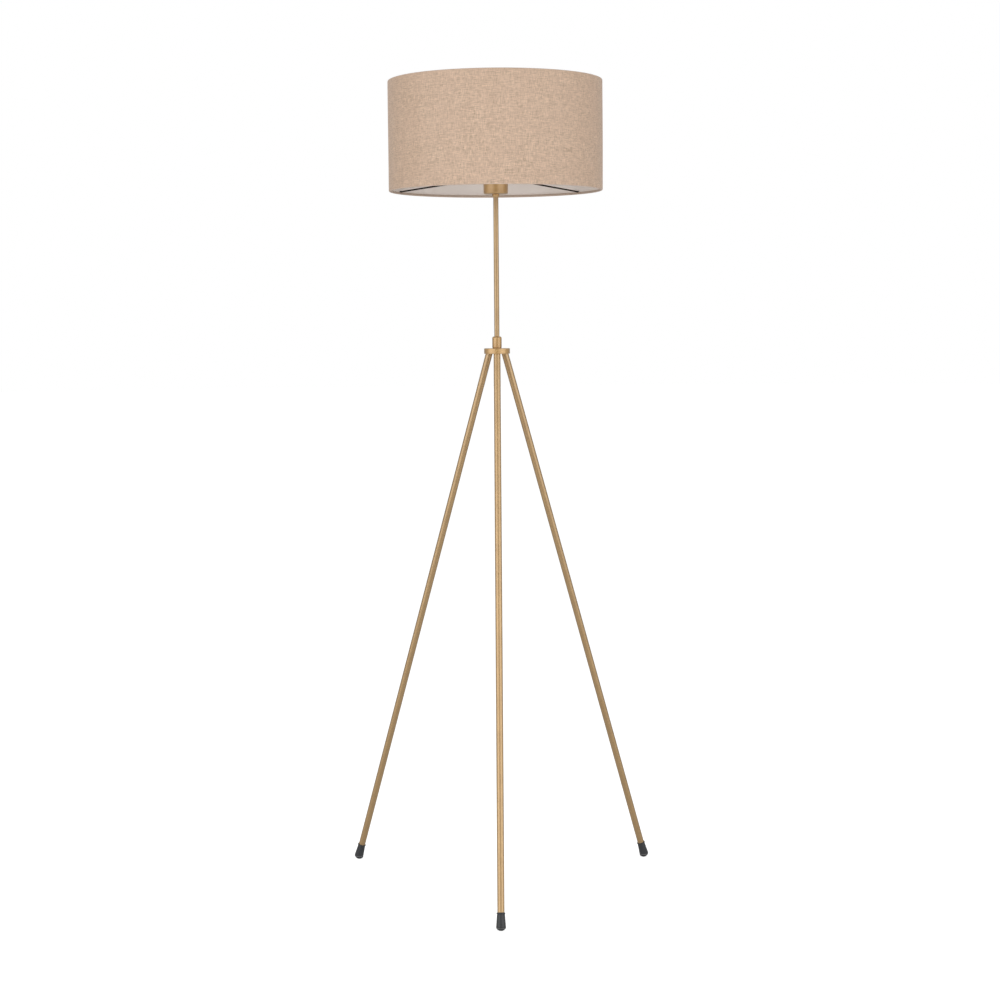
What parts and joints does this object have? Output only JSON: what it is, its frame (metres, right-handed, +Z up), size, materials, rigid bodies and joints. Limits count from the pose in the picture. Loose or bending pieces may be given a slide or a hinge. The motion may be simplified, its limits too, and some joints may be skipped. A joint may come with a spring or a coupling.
{
  "type": "tripod floor lamp",
  "caption": "Tripod floor lamp: splayed brass tube legs screwed into a hub disc, slim pole, and a linen drum shade on a wire spider over a screw-in bulb.",
  "frame": {"origin": "on the floor, straight under the pole's axis, midway between the three feet", "axes": "+Z up along the pole; leg 1 points towards -Y, legs 2 and 3 towards +X+Y and -X+Y"},
  "size_m": [0.5822, 0.5322, 1.5],
  "materials": {
    "antique_brass": "satin antique plating",
    "zinc_steel": "zinc plated",
    "foot_rubber": "matte moulded",
    "black_phenolic": "satin moulded",
    "ceramic": "unglazed steatite",
    "contact_brass": "bright stamped",
    "nickel_plate": "nickel plated",
    "brown_insulation": "satin",
    "blue_insulation": "satin",
    "linen": "plain weave with slubs",
    "white_lining": "matte film",
    "dark_wire": "dark lacquer",
    "white_plastic": "satin",
    "opal_plastic": "opal, lets light through",
    "circuit_board": "laminate",
    "board_aluminium": "plain",
    "phosphor": "silicone"
  },
  "bodies": {
    "stand": {"hub_disc": "antique_brass", "leg_1": "antique_brass", "leg_2": "antique_brass", "leg_3": "antique_brass", "leg_plug_1": "antique_brass", "leg_plug_2": "antique_brass", "leg_plug_3": "antique_brass", "leg_studs": "zinc_steel", "foot_1": "foot_rubber", "foot_2": "foot_rubber", "foot_3": "foot_rubber", "centre_nipple": "zinc_steel", "centre_washer": "zinc_steel", "centre_nut": "zinc_steel", "cord_bush": "black_phenolic", "pole_collar": "antique_brass", "pole_tube": "antique_brass", "neck_adapter": "antique_brass", "holder_cup": "antique_brass", "holder_locknut": "zinc_steel", "holder_cap": "black_phenolic", "holder_insert": "ceramic", "terminal_blocks": "contact_brass", "terminal_screws": "zinc_steel", "centre_contact": "contact_brass", "screw_shell": "nickel_plate", "holder_skirt": "black_phenolic", "lead_live": "brown_insulation", "lead_neutral": "blue_insulation"},
    "shade": {"shade_fabric": "linen", "shade_lining": "white_lining", "top_rim_wire": "dark_wire", "bottom_rim_wire": "dark_wire", "spider_arm_1": "dark_wire", "spider_arm_2": "dark_wire", "spider_arm_3": "dark_wire", "fitter_ring": "dark_wire"},
    "shade_ring": {"shade_ring_nut": "black_phenolic"},
    "bulb_lift": {"bulb_contact": "zinc_steel"},
    "bulb": {"bulb_insulator": "black_phenolic", "bulb_cap": "nickel_plate", "bulb_housing": "white_plastic", "driver_board": "circuit_board", "led_board": "board_aluminium", "led_chips": "phosphor", "bulb_globe": "opal_plastic"}
  },
  "joints": [
    {"name": "shade_turn", "type": "hinge", "parent": "stand", "child": "shade", "pos_m": [0, 0, 1.323], "axis": [0, 0, 1], "continuous": true},
    {"name": "shade_ring_turn", "type": "hinge", "parent": "stand", "child": "shade_ring", "pos_m": [0, 0, 1.328], "axis": [0, 0, 1], "range_deg": [0, 1080]},
    {"name": "bulb_rise", "type": "slide", "parent": "stand", "child": "bulb_lift", "axis": [0, 0, 1], "range_m": [0, 0.0255]},
    {"name": "bulb_turn", "type": "hinge", "parent": "bulb_lift", "child": "bulb", "pos_m": [0, 0, 1.349], "axis": [0, 0, 1], "range_deg": [0, 2520]}
  ],
  "couplings": [
    {"joint": "bulb_rise", "follows": "bulb_turn", "m_per_rad": 0.00057773}
  ]
}
